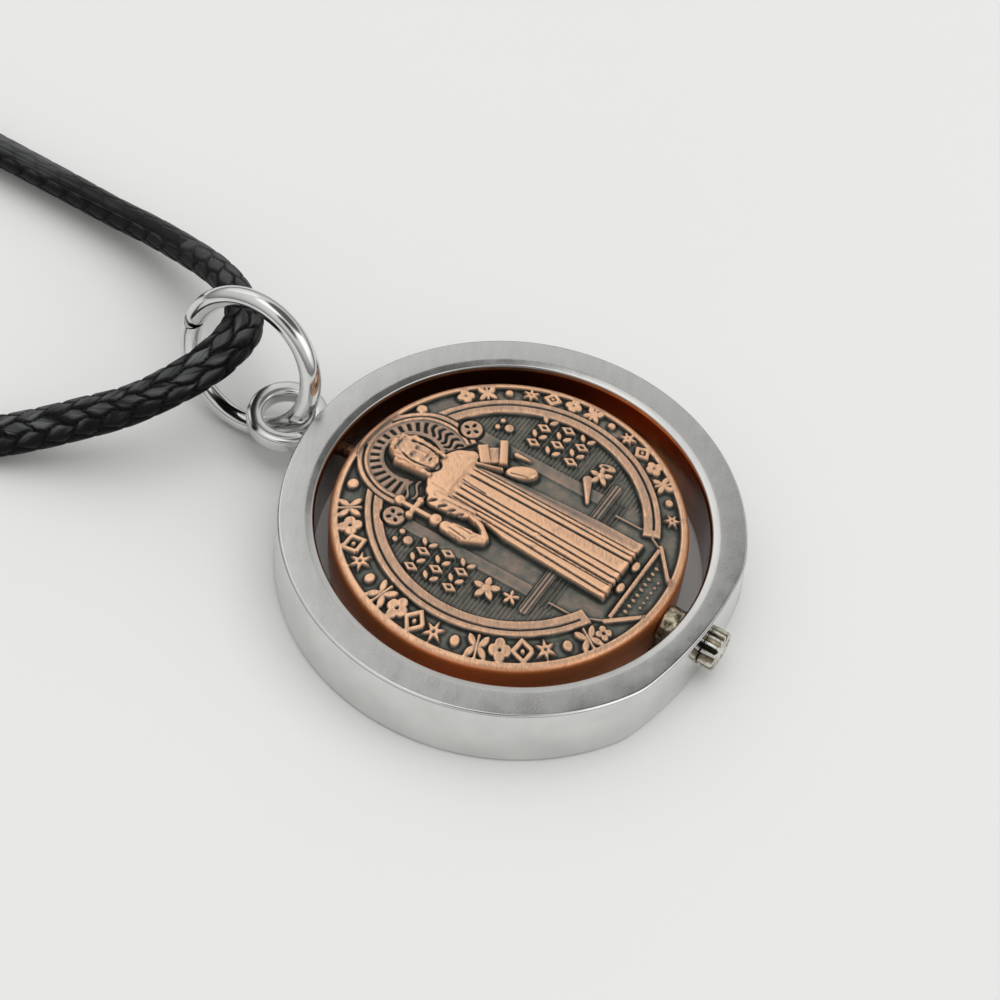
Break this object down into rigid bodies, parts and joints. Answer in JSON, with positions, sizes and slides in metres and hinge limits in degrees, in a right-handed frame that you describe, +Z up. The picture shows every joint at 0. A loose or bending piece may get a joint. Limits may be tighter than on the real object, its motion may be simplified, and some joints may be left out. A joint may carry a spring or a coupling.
{
  "type": "medal pendant necklace",
  "caption": "Round medal on a spindle in an open ring case, with a soldered eye, a jump ring and an oval cord loop closed by a plain barrel clasp.",
  "frame": {"origin": "centre of the case ring, on the surface that the necklace lies on", "axes": "+Z up out of the medal's face, +Y from the case's centre towards the eye and jump ring, +X to the right of the upright figure"},
  "size_m": [0.1055, 0.2426, 0.0091],
  "materials": {
    "case_steel": "polished wall with a satin top face",
    "medal_copper": "antiqued copper with dark recesses",
    "stem_brass": "worn nickel brass",
    "crown_steel": "bright fluted steel",
    "ring_steel": "bright polished wire",
    "cord_black": "waxed braid",
    "clasp_steel": "polished"
  },
  "bodies": {
    "necklace": {"case_ring": "case_steel", "jump_ring": "ring_steel", "cord": "cord_black", "clasp": "clasp_steel"},
    "spinner": {"medal": "medal_copper", "stem": "stem_brass", "pivot_pin": "medal_copper", "crown": "crown_steel"}
  },
  "joints": [
    {"name": "medal_spin", "type": "hinge", "parent": "necklace", "child": "spinner", "pos_m": [0, 0, 0.00205], "axis": [0, 1, 0], "continuous": true}
  ]
}
